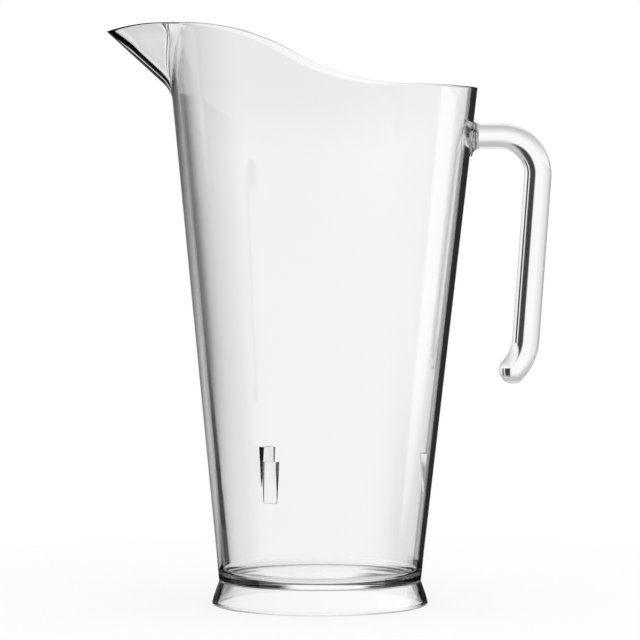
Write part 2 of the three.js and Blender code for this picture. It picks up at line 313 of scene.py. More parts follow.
def column_turns(v, lugs):
    """Turns of the mesh's columns, gathered towards the beak and eased aside to meet the lugs' sides."""
    columns, gathering, reach = 400, 0.4, math.radians(7)
    even = np.linspace(-math.pi, math.pi, columns, endpoint=False)
    turns = even - gathering * np.sin(even)
    for lug in range(lugs.count):
        for side in (-1, 1):
            at = math.pi + lug * 2 * math.pi / lugs.count + side * lug_half_turn(v, lugs)
            off = (turns - at + math.pi) % (2 * math.pi) - math.pi
            shift = off[np.abs(off).argmin()]
            turns = turns - shift * np.maximum(1 - ((off - shift) / reach) ** 2, 0) ** 2
    return np.arctan2(np.sin(turns), np.cos(turns))


def vessel_rings(v, lugs):
    """Closed rings from the middle of the underside, up the outside, over the rim and down inside."""
    turn = column_turns(v, lugs)
    crest = rim_line(v, turn)
    beak_wall_slope = (v.mouth_radius - v.mouth_shift - v.base_radius) / (v.mouth_height - v.base_height)
    beak_foot = beak_tip(v)[1] - (v.beak_reach + v.crease) / (v.keel_run - beak_wall_slope)
    upper_rings, lower_rings, flat_rings, corner_rings, edge_rings = 40, 14, 8, 9, 6
    gathering, pole_radius = 1.5, 0.006
    quarter = np.linspace(0, math.pi / 2, corner_rings)
    top_thickness = bore_inset(v, turn, crest, crest)
    ends_at = crest - v.rim_edge * top_thickness / v.wall

    def level(z, inset):
        return skin(v, turn, np.full_like(turn, z), inset)

    def upper(inset):
        rings = []
        for s in 1 - np.linspace(1, 0, upper_rings) ** gathering:
            z = beak_foot + (ends_at - beak_foot) * s
            rings.append(skin(v, turn, z, inset and bore_inset(v, turn, crest, z)))
        return rings

    def lower(bottom, inset):
        heights = np.linspace(bottom, beak_foot, lower_rings)[:-1]
        heights = np.append(heights, [bottom + SUPPORT_LOOP, lugs.top, lugs.top - lugs.height])
        return [level(z, inset) for z in np.sort(heights)]

    # The flat rim meets each skin in a small round
    corners = [skin(v, turn, crest, inset) for inset in (0, top_thickness)]
    across = (corners[1] - corners[0]) * (v.rim_edge / v.wall)
    tops = [corners[0] + across, corners[1] - across]
    ends = [upper(inset)[-1] for inset in (0, v.wall)]

    def rounded(from_point, corner, to_point):
        steps = np.linspace(0, 1, edge_rings)[1:]
        return [(1 - t) ** 2 * from_point + 2 * t * (1 - t) * corner + t**2 * to_point for t in steps]

    rim = rounded(ends[0], corners[0], tops[0]) + [tops[1]] + rounded(tops[1], corners[1], ends[1])[:-1]

    base = v.base_height
    edge = v.base_edge
    under_radii = np.linspace(pole_radius, v.base_radius - edge, flat_rings)
    under_radii = np.insert(under_radii, -1, under_radii[-1] - SUPPORT_LOOP)
    under = [level(base, v.base_radius - r) for r in under_radii]
    corner = [level(base + edge * (1 - math.cos(a)), edge * (1 - math.sin(a))) for a in quarter[1:]]
    fillet = [
        level(v.floor_top + v.floor_fillet * (1 - math.sin(a)), v.wall + v.floor_fillet * (1 - math.cos(a)))
        for a in quarter
    ]
    floor_edge = v.wall + v.floor_fillet
    floor_insets = np.linspace(floor_edge, v.base_radius - pole_radius, flat_rings)
    floor_insets[0] += SUPPORT_LOOP
    floor = [level(v.floor_top, inset) for inset in floor_insets]
    outside = lower(base + edge, 0)[1:] + upper(0)
    inside = upper(v.wall)[::-1] + lower(v.floor_top + v.floor_fillet, v.wall)[:0:-1]
    return under + corner + outside + rim + inside + fillet + floor


def lofted_mesh(name, rings):
    """A closed mesh over rings of equal length, shut by a pole at the middle of each end ring."""
    count = len(rings[0])
    points = np.concatenate([rings[0].mean(0)[None], *rings, rings[-1].mean(0)[None]])
    first = 1 + np.arange(count)
    after = 1 + (np.arange(count) + 1) % count
    last = len(points) - 1
    faces = [(0, int(b), int(a)) for a, b in zip(first, after)]
    for ring in range(len(rings) - 1):
        step = ring * count
        faces += [
            (int(a + step), int(b + step), int(b + step + count), int(a + step + count))
            for a, b in zip(first, after)
        ]
    step = (len(rings) - 1) * count
    faces += [(last, int(a + step), int(b + step)) for a, b in zip(first, after)]
    mesh = bpy.data.meshes.new(name)
    mesh.from_pydata(points + np.array([FOOT_X, 0, 0]), [], faces)
    mesh.validate()
    mesh.shade_smooth()
    return mesh


# Short calls that put node trees together


def link(tree, value, socket):
    """Sets a socket to a value, or links another socket to it."""
    if isinstance(value, bpy.types.NodeSocket):
        tree.links.new(value, socket)
    elif value is not None:
        socket.default_value = value


def add(tree, kind, inputs=(), **settings):
    """Adds a node with its settings, and fills its inputs in order or by name."""
    node = tree.nodes.new(kind)
    for key, value in settings.items():
        setattr(node, key, value)
    pairs = inputs.items() if isinstance(inputs, dict) else enumerate(inputs)
    for key, value in pairs:
        link(tree, value, node.inputs[key])
    return node


def made(tree, kind, inputs=(), **settings):
    """Adds a node in the same way, and gives its first output."""
    return add(tree, kind, inputs, **settings).outputs[0]


def calc(tree, operation, *values):
    """The result of one sum."""
    return made(tree, "ShaderNodeMath", values, operation=operation)


def times(tree, first, second):
    """The product of two values."""
    return calc(tree, "MULTIPLY", first, second)


def inverse(tree, value):
    """What a value between 0 and 1 leaves of 1."""
    return calc(tree, "SUBTRACT", 1.0, value)


def new_geometry_tree(name, sizes):
    """A tree with a geometry input and named size inputs; returns it with its input and output nodes."""
    tree = bpy.data.node_groups.new(name, "GeometryNodeTree")
    tree.interface.new_socket("Geometry", in_out="INPUT", socket_type="NodeSocketGeometry")
    for label, value in sizes.items():
        kind = {int: "NodeSocketInt", float: "NodeSocketFloat"}.get(type(value), "NodeSocketMaterial")
        tree.interface.new_socket(label, in_out="INPUT", socket_type=kind)
    tree.interface.new_socket("Geometry", in_out="OUTPUT", socket_type="NodeSocketGeometry")
    return tree, tree.nodes.new("NodeGroupInput").outputs, tree.nodes.new("NodeGroupOutput").inputs


def end_tree(tree, geometry, sizes_in, result):
    """Realizes what the tree made, shades it smooth and gives it its plastic."""
    realized = made(tree, "GeometryNodeRealizeInstances", {"Geometry": geometry})
    smooth = made(tree, "GeometryNodeSetShadeSmooth", {"Geometry": realized})
    turn = add(tree, "GeometryNodeInputMeshEdgeAngle").outputs["Unsigned Angle"]
    too_sharp = calc(tree, "GREATER_THAN", turn, SHARP_TURN)
    sharp = {"Geometry": smooth, "Selection": too_sharp, "Shade Smooth": False}
    crisp = made(tree, "GeometryNodeSetShadeSmooth", sharp, domain="EDGE")
    finished = made(tree, "GeometryNodeSetMaterial", {"Geometry": crisp, "Material": sizes_in["Plastic"]})
    tree.links.new(finished, result["Geometry"])


def wall_at(tree, sizes_in, z):
    """(X of the vessel's axis, outer radius of its plain wall) at a height, worked out in a tree."""
    climb = calc(tree, "SUBTRACT", z, sizes_in["Base height"])
    tall = calc(tree, "SUBTRACT", sizes_in["Mouth height"], sizes_in["Base height"])
    part = calc(tree, "DIVIDE", climb, tall)
    spread = calc(tree, "SUBTRACT", sizes_in["Mouth radius"], sizes_in["Base radius"])
    radius = calc(tree, "MULTIPLY_ADD", spread, part, sizes_in["Base radius"])
    return calc(tree, "MULTIPLY_ADD", sizes_in["Mouth shift"], part, sizes_in["Foot centre"]), radius


def wall_by_point(tree, sizes_in):
    """Where each point lies, with the vessel's axis and wall at its height."""
    x, y, z = add(tree, "ShaderNodeSeparateXYZ", [made(tree, "GeometryNodeInputPosition")]).outputs
    return x, y, z, *wall_at(tree, sizes_in, z)


def wall_sizes(v):
    """The inputs that wall_at reads."""
    return {
        "Foot centre": FOOT_X,
        "Base height": v.base_height,
        "Base radius": v.base_radius,
        "Mouth height": v.mouth_height,
        "Mouth radius": v.mouth_radius,
        "Mouth shift": v.mouth_shift,
    }


def placed(name, data):
    """Puts data into the scene as an object."""
    thing = bpy.data.objects.new(name, data)
    bpy.context.scene.collection.objects.link(thing)
    return thing


def realized_mesh(name, start, tree, sizes):
    """Runs a tree on a starting mesh and returns the result as a plain mesh."""
    carrier = placed(name, start)
    modifier = carrier.modifiers.new(tree.name, "NODES")
    modifier.node_group = tree
    for item in tree.interface.items_tree:
        if item.in_out == "INPUT" and item.name in sizes:
            modifier[item.identifier] = sizes[item.name]
    bpy.context.view_layer.update()
    evaluated = carrier.evaluated_get(bpy.context.evaluated_depsgraph_get())
    mesh = bpy.data.meshes.new_from_object(evaluated)
    bpy.data.objects.remove(carrier)
    if not mesh.polygons:
        raise RuntimeError(f"{name} came out of its tree with no faces")
    return mesh


def polyline(name, points, closed=False):
    """A mesh of edges through points."""
    steps = len(points) if closed else len(points) - 1
    edges = [(i, (i + 1) % len(points)) for i in range(steps)]
    mesh = bpy.data.meshes.new(name)
    mesh.from_pydata(points, edges, [])
    return mesh


def turned_outwards(mesh):
    """Merges doubles and points the faces of a closed mesh outwards."""
    work = bmesh.new()
    work.from_mesh(mesh)
    bmesh.ops.remove_doubles(work, verts=work.verts, dist=1e-7)
    bmesh.ops.recalc_face_normals(work, faces=work.faces)
    open_edges = [e for e in work.edges if not e.is_manifold]
    work.to_mesh(mesh)
    work.free()
    if open_edges:
        raise RuntimeError(f"{mesh.name} has {len(open_edges)} open edges")
    return mesh


def finish_piece(name, mesh, plastic, nodes):
    """Puts a finished mesh into the scene and lets it stand for its CAD nodes."""
    mesh.name = name
    if plastic.name not in mesh.materials:
        mesh.materials.clear()
        mesh.materials.append(plastic)
    piece = placed(name, turned_outwards(mesh))
    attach(piece, "root")
    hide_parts(*nodes)
    return piece


def clear_material(name, tint, bend):
    """A clear material, with its tree and its shader."""
    material = bpy.data.materials.new(name)
    material.use_nodes = True
    tree = material.node_tree
    shader = tree.nodes["Principled BSDF"]
    shader.inputs["Base Color"].default_value = (*tint, 1.0)
    shader.inputs["Transmission Weight"].default_value = 1.0
    shader.inputs["IOR"].default_value = bend
    return material, tree, shader


def clear_plastic(name, finish, flow_scale):
    """Water clear moulded plastic: faint flow ripples, and haze where hands and washing have worn it."""
    found = bpy.data.materials.get(name)
    if found:
        return found
    plastic, tree, shader = clear_material(name, finish.tint, finish.bend)
    place = add(tree, "ShaderNodeTexCoord").outputs["Object"]
    ripples = made(tree, "ShaderNodeTexNoise", {"Vector": place, "Scale": flow_scale, "Detail": 1.0})
    relief = {"Strength": 1.0, "Distance": finish.flow, "Height": ripples}
    patches = made(tree, "ShaderNodeTexNoise", {"Vector": place, "Scale": WORN_PATCHES, "Detail": 4.0})
    low, high = WORN_RANGE
    worn = {"Value": patches, "From Min": low, "From Max": high, "To Min": 0.0, "To Max": finish.haze}
    tree.links.new(made(tree, "ShaderNodeMapRange", worn), shader.inputs["Roughness"])
    tree.links.new(made(tree, "ShaderNodeBump", relief), shader.inputs["Normal"])
    return plastic


def body_plastic(context):
    return clear_plastic("clear_moulded_wall", context.scene.jug_finish, WALL_RIPPLES)


def solid_plastic(context):
    return clear_plastic("clear_moulded_bar", context.scene.jug_finish, BAR_RIPPLES)


def bond_line():
    """Faces where two pieces are fused: light passes them without bending."""
    found = bpy.data.materials.get("clear_bond_line")
    if found:
        return found
    bond, _, shader = clear_material("clear_bond_line", WHITE, BOND_BEND)
    shader.inputs["Roughness"].default_value = 0.0
    return bond


def set_bond(mesh, plastic, fused):
    """Gives the faces of a mesh that are fused to another piece the bond line's finish."""
    mesh.materials.clear()
    mesh.materials.append(plastic)
    mesh.materials.append(bond_line())
    mesh.polygons.foreach_set("material_index", [int(f) for f in fused])


def lug_half_turn(v, lugs):
    """Half of the angle that a lug's back takes up on the wall."""
    return math.atan2(lugs.width / 2, cone_radius(v, lugs.top))


def under_lug(v, lugs, point):
    """Whether a point of the vessel lies on the inside of the wall, behind a lug."""
    x, y, z = point
    out = x - FOOT_X - axis_x(v, z)
    spacing = 2 * math.pi / lugs.count
    off_lug = (math.atan2(y, out) + spacing / 2) % spacing - spacing / 2
    inside = math.hypot(out, y) < cone_radius(v, z) - v.wall / 2
    return inside and abs(off_lug) < lug_half_turn(v, lugs) and lugs.top - lugs.height < z < lugs.top


class JUG_OT_vessel(bpy.types.Operator):
    """Builds the vessel with its beak, swept rim and floor as one clear moulding"""

    bl_idname = "jug.vessel"
    bl_label = "Vessel"

    def execute(self, context):
        v, lugs = context.scene.jug_vessel, context.scene.jug_lugs
        mesh = lofted_mesh("clear_vessel", vessel_rings(v, lugs))
        set_bond(mesh, body_plastic(context), [under_lug(v, lugs, face.center) for face in mesh.polygons])
        finish_piece("clear_vessel", mesh, body_plastic(context), ["jug_body"])
        return {"FINISHED"}


def handle_line(v, h):
    """Points of the handle's centre line in the X, Z plane, each with the bar's radius there."""
    z = v.mouth_height - h.below_mouth
    seat = axis_x(v, z) + cone_radius(v, z)
    bend_x = seat + h.bar_length
    flare = h.root_radius + h.root_fillet
    seat_steps, flare_steps, bar_steps, bend_steps = 10, 12, 6, 36
    leg_steps, tail_steps, cap_steps = 14, 16, 20
    rows = []
    # A cone that starts inside the wall, to be flattened onto it as the handle's seat
    for s in np.linspace(0.01, 1, seat_steps):
        rows.append((seat - 3 * h.root_fillet + 2 * h.root_fillet * s, z, flare * s))
    for a in np.linspace(0, math.pi / 2, flare_steps):
        rows.append((seat + h.root_fillet * (1 - math.cos(a)), z, flare - h.root_fillet * math.sin(a)))
    for x in np.linspace(seat + h.root_fillet, bend_x, bar_steps)[1:-1]:
        rows.append((x, z, h.root_radius))
    for s in np.linspace(0, 1, bend_steps):
        a = math.pi / 2 - s * (math.pi / 2 + h.leg_lean)
        radius = h.root_radius + s * (h.grip_radius - h.root_radius)
        rows.append((bend_x + h.bend_radius * math.cos(a), z - h.bend_radius * (1 - math.sin(a)), radius))
    leg = Vector((-math.sin(h.leg_lean), -math.cos(h.leg_lean)))
    bend_end = Vector(rows[-1][:2])
    for s in np.linspace(0, 1, leg_steps)[1:]:
        rows.append((*(bend_end + leg * (h.leg_length * s)), h.grip_radius))
    outward = Vector((math.cos(h.leg_lean), -math.sin(h.leg_lean)))
    tail_centre = Vector(rows[-1][:2]) - outward * h.tail_radius
    for a in np.linspace(0, h.tail_turn, tail_steps)[1:]:
        lean = h.leg_lean + a
        reach = Vector((math.cos(lean), -math.sin(lean))) * h.tail_radius
        rows.append((*(tail_centre + reach), h.grip_radius))
    lean = h.leg_lean + h.tail_turn
    along = Vector((-math.sin(lean), -math.cos(lean))) * h.grip_radius
    tail_end = Vector(rows[-1][:2])
    for a in np.linspace(0, math.radians(89), cap_steps)[1:]:
        rows.append((*(tail_end + along * math.sin(a)), h.grip_radius * math.cos(a)))
    return rows


class JUG_OT_handle(bpy.types.Operator):
    """Sweeps the hook handle along its centre line and seats its root on the wall"""

    bl_idname = "jug.handle"
    bl_label = "Hook handle"

    def execute(self, context):
        v, h = context.scene.jug_vessel, context.scene.jug_handle
        rows = handle_line(v, h)
        line = polyline("handle_line", [(FOOT_X + x, 0, z) for x, z, _ in rows])
        bar = line.attributes.new("bar_radius", "FLOAT", "POINT")
        bar.data.foreach_set("value", [radius for _, _, radius in rows])
        sizes = {
            "Facets": h.facets,
            "Bond": context.scene.jug_finish.bond,
            **wall_sizes(v),
            "Plastic": solid_plastic(context),
        }
        tree = self.sweep_tree(sizes)
        mesh = realized_mesh("clear_hook_handle", line, tree, sizes)
        finish_piece("clear_hook_handle", mesh, solid_plastic(context), ["handle"])
        return {"FINISHED"}

    def sweep_tree(self, sizes):
        tree, sizes_in, result = new_geometry_tree("handle_sweep", sizes)
        line = made(tree, "GeometryNodeMeshToCurve", {"Mesh": sizes_in["Geometry"]})
        radius = made(tree, "GeometryNodeInputNamedAttribute", {"Name": "bar_radius"})
        section = made(
            tree, "GeometryNodeCurvePrimitiveCircle", {"Resolution": sizes_in["Facets"], "Radius": 1.0}
        )
        bar = made(
            tree,
            "GeometryNodeCurveToMesh",
            {"Curve": line, "Profile Curve": section, "Scale": radius, "Fill Caps": True},
        )
        # No point of the bar lies deeper than the bond with the wall
        x, y, z, axis, wall = wall_by_point(tree, sizes_in)
        across = calc(tree, "SUBTRACT", times(tree, wall, wall), times(tree, y, y))
        skin_x = calc(tree, "ADD", axis, calc(tree, "SQRT", across))
        seat = calc(tree, "MAXIMUM", x, calc(tree, "SUBTRACT", skin_x, sizes_in["Bond"]))
        seated = made(tree, "ShaderNodeCombineXYZ", [seat, y, z])
        moved = made(tree, "GeometryNodeSetPosition", {"Geometry": bar, "Position": seated})
        end_tree(tree, moved, sizes_in, result)
        return tree


def foot_section(v, f, bond):
    """The foot's closed section as radius and height, with its four corners rounded."""
    top = v.base_height + bond
    bore_top, bore = v.base_radius - f.wall, f.radius - f.wall
    soft = f.edge / 3
    corner_steps = 9
    corners = [
        (bore + f.edge, f.edge, f.edge, math.pi, 1.5 * math.pi),
        (f.radius - f.edge, f.edge, f.edge, 1.5 * math.pi, 2 * math.pi),
        (v.base_radius - soft, top - soft, soft, 0, math.pi / 2),
        (bore_top + soft, top - soft, soft, math.pi / 2, math.pi),
    ]
    points = []
    for x, z, r, start, end in corners:
        along = np.linspace(start, end, corner_steps)
        arc = [Vector((x + r * math.cos(a), z + r * math.sin(a))) for a in along]
        before = arc[0] - SUPPORT_LOOP * Vector((-math.sin(start), math.cos(start)))
        after = arc[-1] + SUPPORT_LOOP * Vector((-math.sin(end), math.cos(end)))
        points += [before, *arc, after]
    return points


class JUG_OT_foot(bpy.types.Operator):
    """Turns the hollow foot ring from its section"""

    bl_idname = "jug.foot"
    bl_label = "Foot ring"

    def execute(self, context):
        v, f = context.scene.jug_vessel, context.scene.jug_foot
        section = foot_section(v, f, context.scene.jug_finish.bond)
        # A section's second axis points down where it is carried round a level circle
        profile = polyline("foot_section", [(r - f.radius, -z, 0) for r, z in section], closed=True)
        sizes = {
            "Facets": f.facets,
            "Foot radius": f.radius,
            "Foot centre": FOOT_X,
            "Plastic": body_plastic(context),
        }
        tree, sizes_in, result = new_geometry_tree("foot_turning", sizes)
        outline = made(tree, "GeometryNodeMeshToCurve", {"Mesh": sizes_in["Geometry"]})
        circle = made(
            tree,
            "GeometryNodeCurvePrimitiveCircle",
            {"Resolution": sizes_in["Facets"], "Radius": sizes_in["Foot radius"]},
        )
        ring = made(tree, "GeometryNodeCurveToMesh", {"Curve": circle, "Profile Curve": outline})
        centre = made(tree, "ShaderNodeCombineXYZ", [sizes_in["Foot centre"]])
        placed = made(tree, "GeometryNodeTransform", {"Geometry": ring, "Translation": centre})
        end_tree(tree, placed, sizes_in, result)
        mesh = realized_mesh("clear_foot_ring", profile, tree, sizes)
        finish_piece("clear_foot_ring", mesh, body_plastic(context), ["foot_ring"])
        return {"FINISHED"}


def lug_block(lugs, wall, toe):
    """One lug on +X: an upright face at 0, ledge on top, edges rounded, its back marked for the wall."""
    work = bmesh.new()
    bmesh.ops.create_cube(work, size=1.0)
    depth = lugs.ledge + wall
    on_back = depth * 0.999
    strips, round_segments = 11, 4
    for vert in work.verts:
        vert.co.x = (vert.co.x + 0.5) * depth
        vert.co.y *= lugs.width
        vert.co.z = lugs.top + (vert.co.z - 0.5) * lugs.height

    def is_rounded(edge):
        """True for the edges of the inner face and those that run back from it."""
        near, far = (vert.co.x for vert in edge.verts)
        return max(near, far) < depth / 2 or abs(near - far) > depth / 2

    edges = [edge for edge in work.edges if is_rounded(edge)]
    bmesh.ops.bevel(
        work, geom=edges, offset=lugs.edge, segments=round_segments, profile=0.5, affect="EDGES"
    )
    for y in np.linspace(-0.5, 0.5, strips + 1)[1:-1] * lugs.width:
        everything = [*work.verts, *work.edges, *work.faces]
        bmesh.ops.bisect_plane(work, geom=everything, plane_co=(0, y, 0), plane_no=(0, 1, 0))
    for vert in work.verts:
        if vert.co.x < on_back:
            vert.co.x += toe * (lugs.top - vert.co.z) / lugs.height
        vert.co.y *= 1 - 2 * math.tan(lugs.draft) * (depth - vert.co.x) / lugs.width
    mesh = bpy.data.meshes.new("lug_block")
    work.to_mesh(mesh)
    work.free()
    back = mesh.attributes.new("on_wall", "FLOAT", "POINT")
    back.data.foreach_set("value", [float(vert.co.x > on_back) for vert in mesh.vertices])
    return mesh


class JUG_OT_lugs(bpy.types.Operator):
    """Repeats the stacking lug round the inside of the wall and seats each one on it"""

    bl_idname = "jug.lugs"
    bl_label = "Stacking lugs"

    def execute(self, context):
        v, lugs = context.scene.jug_vessel, context.scene.jug_lugs
        ledge_radius = cone_radius(v, lugs.top) - v.wall - lugs.ledge
        sizes = {
            "Count": lugs.count,
            "Ledge radius": ledge_radius,
            "Ledge centre": FOOT_X + axis_x(v, lugs.top),
            "Wall": v.wall - context.scene.jug_finish.bond,
            **wall_sizes(v),
            "Plastic": body_plastic(context),
        }
        tree = self.lug_tree(sizes)
        narrowing = cone_radius(v, lugs.top) - cone_radius(v, lugs.top - lugs.height)
        toe = lugs.ledge - narrowing - lugs.toe
        mesh = realized_mesh("clear_stacking_lugs", lug_block(lugs, v.wall, toe), tree, sizes)
        marks = mesh.attributes["on_wall"].data
        fused = [all(marks[i].value > 0.5 for i in face.vertices) for face in mesh.polygons]
        set_bond(mesh, body_plastic(context), fused)
        finish_piece("clear_stacking_lugs", mesh, body_plastic(context), LUG_NODES)
        return {"FINISHED"}

    def lug_tree(self, sizes):
        tree, sizes_in, result = new_geometry_tree("lug_ring", sizes)
        ring = made(
            tree,
            "GeometryNodeMeshCircle",
            {"Vertices": sizes_in["Count"], "Radius": sizes_in["Ledge radius"]},
        )
        number = made(tree, "GeometryNodeInputIndex")
        turn = calc(tree, "DIVIDE", times(tree, number, 2 * math.pi), sizes_in["Count"])
        facing = made(tree, "ShaderNodeCombineXYZ", [0.0, 0.0, turn])
        lugs = made(
            tree,
            "GeometryNodeInstanceOnPoints",
            {"Points": ring, "Instance": sizes_in["Geometry"], "Rotation": facing},
        )
        centre = made(tree, "ShaderNodeCombineXYZ", [sizes_in["Ledge centre"]])
        placed = made(tree, "GeometryNodeTransform", {"Geometry": lugs, "Translation": centre})
        solid = made(tree, "GeometryNodeRealizeInstances", {"Geometry": placed})
        # The marked backs move out, square to the vessel's axis, onto the inside of the wall
        x, y, z, axis, wall = wall_by_point(tree, sizes_in)
        out = calc(tree, "ARCTAN2", y, calc(tree, "SUBTRACT", x, axis))
        reach = calc(tree, "SUBTRACT", wall, sizes_in["Wall"])
        back_x = calc(tree, "MULTIPLY_ADD", reach, calc(tree, "COSINE", out), axis)
        back_y = times(tree, reach, calc(tree, "SINE", out))
        seat = made(tree, "ShaderNodeCombineXYZ", [back_x, back_y, z])
        marked = made(tree, "GeometryNodeInputNamedAttribute", {"Name": "on_wall"})
        seated = made(
            tree,
            "GeometryNodeSetPosition",
            {"Geometry": solid, "Selection": calc(tree, "GREATER_THAN", marked, 0.5), "Position": seat},
        )
        end_tree(tree, seated, sizes_in, result)
        return tree


# How bright the studio looks to the plastic, as pairs of an angle in degrees and a level. Turns go from
# straight behind the jug towards the handle side. Walls are light straight through two or more pieces,
# which sees a grey screen on the beak side and a black flag on the handle side, with a list of its own
# for light that leaves downwards. Edges are light mirrored inside the plastic, which sees a screen on
# the beak side whose level goes by height. Skin is what the outside mirrors. Bars are light through one
# solid piece, which sees the flag and is shaded from above and below.
BEHIND_WALLS = [
    (-50, 1.0), (-38, 1.0), (-35, 0.45), (-18, 0.42), (-13, 0.36), (-9.5, 0.3), (-7.3, 0.32),
    (-6, 0.5), (-4.8, 0.7), (-3.9, 0.8), (-2.7, 0.9), (-1.3, 0.97), (0.2, 1.0), (13.6, 1.0),
    (14.6, 0.03), (28.8, 0.03), (31, 1.0), (50, 1.0),
]
BEHIND_LOW_WALLS = [
    (-50, 1.0), (-38, 1.0), (-35, 0.6), (-20, 0.5), (-18, 0.05), (-8.2, 0.03), (-7.3, 0.72),
    (-6, 0.9), (-4.2, 0.98), (-3, 1.0), (4, 1.0), (9, 0.86), (13.6, 0.8), (14.6, 0.03),
    (28.8, 0.03), (31, 1.0), (50, 1.0),
]
BEHIND_EDGES = [
    (-50, 0.1), (-40, 0.1), (-35, 0.42), (-12, 0.42), (-8, 0.5), (-4, 1.0), (10.5, 1.0),
    (12.5, 0.03), (36, 0.03), (42, 0.15), (50, 0.1),
]
BEHIND_SKIN = [
    (-50, 0.12), (-12, 0.15), (-7, 0.3), (-3, 1.0), (9, 1.0), (12, 0.03), (37, 0.03), (41, 1.0),
    (50, 1.0),
]
BEAK_SIDE_SCREEN = [
    (-16, 0.03), (-9.2, 0.03), (-8.2, 0.8), (-6.5, 0.85), (-4.5, 0.56), (-3, 0.36), (-2.3, 0.2),
    (-1, 0.07), (8, 0.04),
]
BEHIND_BARS = [
    (-84, 1.0), (-80, 0.02), (-68, 0.02), (-62, 0.3), (-47, 0.6), (-44, 0.75), (-38, 0.75),
    (-20, 0.9), (-10, 1.0), (11, 1.0), (13.5, 0.25), (15.5, 0.02), (29.5, 0.02), (32.5, 0.25),
    (35, 0.95), (37.5, 0.95), (39, 0.03), (46, 0.03), (48, 0.6), (51, 1.0), (84, 1.0),
]
OVER_BARS = [
    (-90, 1.0), (-65, 1.0), (-45, 0.5), (-30, 0.62), (-10, 1.0), (8, 1.0), (22, 0.55), (42, 0.5),
    (60, 1.0), (90, 1.0),
]

# Limits in degrees between which the studio changes; a third number is how soft the ends are
EIGHTH_TURN = 45.0
WINDOW_EDGE, SIDE_FLAG_END = (7.0, 17.0), (85.0, 115.0)
BEAK_SIDE = (-38.0, -12.0, 2.0)
EDGES_BELOW, EDGES_ABOVE, EDGES_OVERHEAD = (-16.5, -14.0), (8.0, 14.0), (40.0, 60.0)
TABLE_PAST_PIECES, TABLE_BELOW = (-35.0, -22.0), (-65.0, -45.0)
NEAR_WALL_LIFT, NEAR_WALL_TURN = (-14.5, -12.0), (42.0, 110.0, 3.0)
FAR_WALL_LIFT, FAR_WALL_TURN = (0.0, 2.5), (-68.0, -44.0, 2.0)
CREASE_LIFT, CREASE_TURN = (4.0, 6.0), (36.0, 64.0, 3.0)
BARS_FROM, BARS_UP_TO = (-10.0, -7.0), (13.0, 25.0)
WALLS_LOW, WALLS_LEVEL = (-6.0, -3.4), (-8.5, 8.5, 2.5)
UPPER_FROM, UPPER_UP_TO, UPPER_TURN = (-0.9, 0.1), (1.5, 3.5), (4.0, 8.0)
SKIN_LEVEL = (-14.0, 14.0, 6.0)

# Levels of the dark and the pale end of the room, of the sky and table in edges, and of the upper walls
ROOM_DARK, ROOM_PALE = 0.06, 1.0
OVERHEAD_LEVEL, TABLE_LEVEL = 0.4, 0.9
UPPER_LEAST, UPPER_SHARE = 0.55, 0.92

# Distance from the floor's middle over which it fades from the light that passes the plastic
FLOOR_FADE = (0.06, 0.14)
# The black card beside the beak and the grey one behind it
SIDE_CARD_X, SIDE_CARD_Y, SIDE_CARD_Z = -0.2, (-0.15, 0.15), (0.0, 0.17)
BEAK_CARD_X, BEAK_CARD_Y, BEAK_CARD_Z = (-0.125, -0.0675), 0.08, (0.236, 0.29)
BEAK_CARD_LEVEL = 0.8
CARD_POINTS = 16
SOFTBOX_SIZE, SOFTBOX_POWER, SOFTBOX_PLACE = 1.2, 6.0, (0.2, -0.3, 1.5)
# Light takes many steps inside clear walls
CLEAR_BOUNCES, MIRROR_BOUNCES = 32, 24


def ease(tree, value, low, high, start, end):
    """Goes smoothly from one level to another while a value goes from low to high."""
    inputs = {"Value": value, "From Min": low, "From Max": high, "To Min": start, "To Max": end}
    return made(tree, "ShaderNodeMapRange", inputs, interpolation_type="SMOOTHSTEP")


def blend(tree, share_of_second, first, second):
    """A share of the way from a first level to a second one."""
    return calc(tree, "MULTIPLY_ADD", share_of_second, calc(tree, "SUBTRACT", second, first), first)


def level_curve(tree, value, pairs):
    """Looks a value up in a list of pairs, with straight lines between them."""
    low, high = pairs[0][0], pairs[-1][0]
    place = made(
        tree, "ShaderNodeMapRange", {"Value": value, "From Min": low, "From Max": high}
    )
    curve = add(tree, "ShaderNodeFloatCurve", {"Value": place})
    points = curve.mapping.curves[0].points
    for _ in pairs[2:]:
        points.new(0.5, 0.5)
    for point, (at, level) in zip(points, pairs):
        point.location = ((at - low) / (high - low), level)
        point.handle_type = "VECTOR"
    curve.mapping.update()
    return curve.outputs[0]


def climb(tree, value, limits):
    """0 below two limits and 1 above them."""
    return ease(tree, value, *limits, 0.0, 1.0)


def fall(tree, value, limits):
    """1 below two limits and 0 above them."""
    return ease(tree, value, *limits, 1.0, 0.0)


def within(tree, value, low, high, soft):
    """1 between two limits, with soft ends."""
    return times(tree, climb(tree, value, (low - soft, low)), fall(tree, value, (high, high + soft)))


def light_path(tree):
    """What a ray has been through, whether that was one piece at most, and whether nothing mirrored it."""
    path = add(tree, "ShaderNodeLightPath").outputs
    one_piece = calc(tree, "LESS_THAN", path["Transmission Depth"], 2.5)
    straight = calc(tree, "LESS_THAN", path["Glossy Depth"], 0.5)
    return path, one_piece, straight


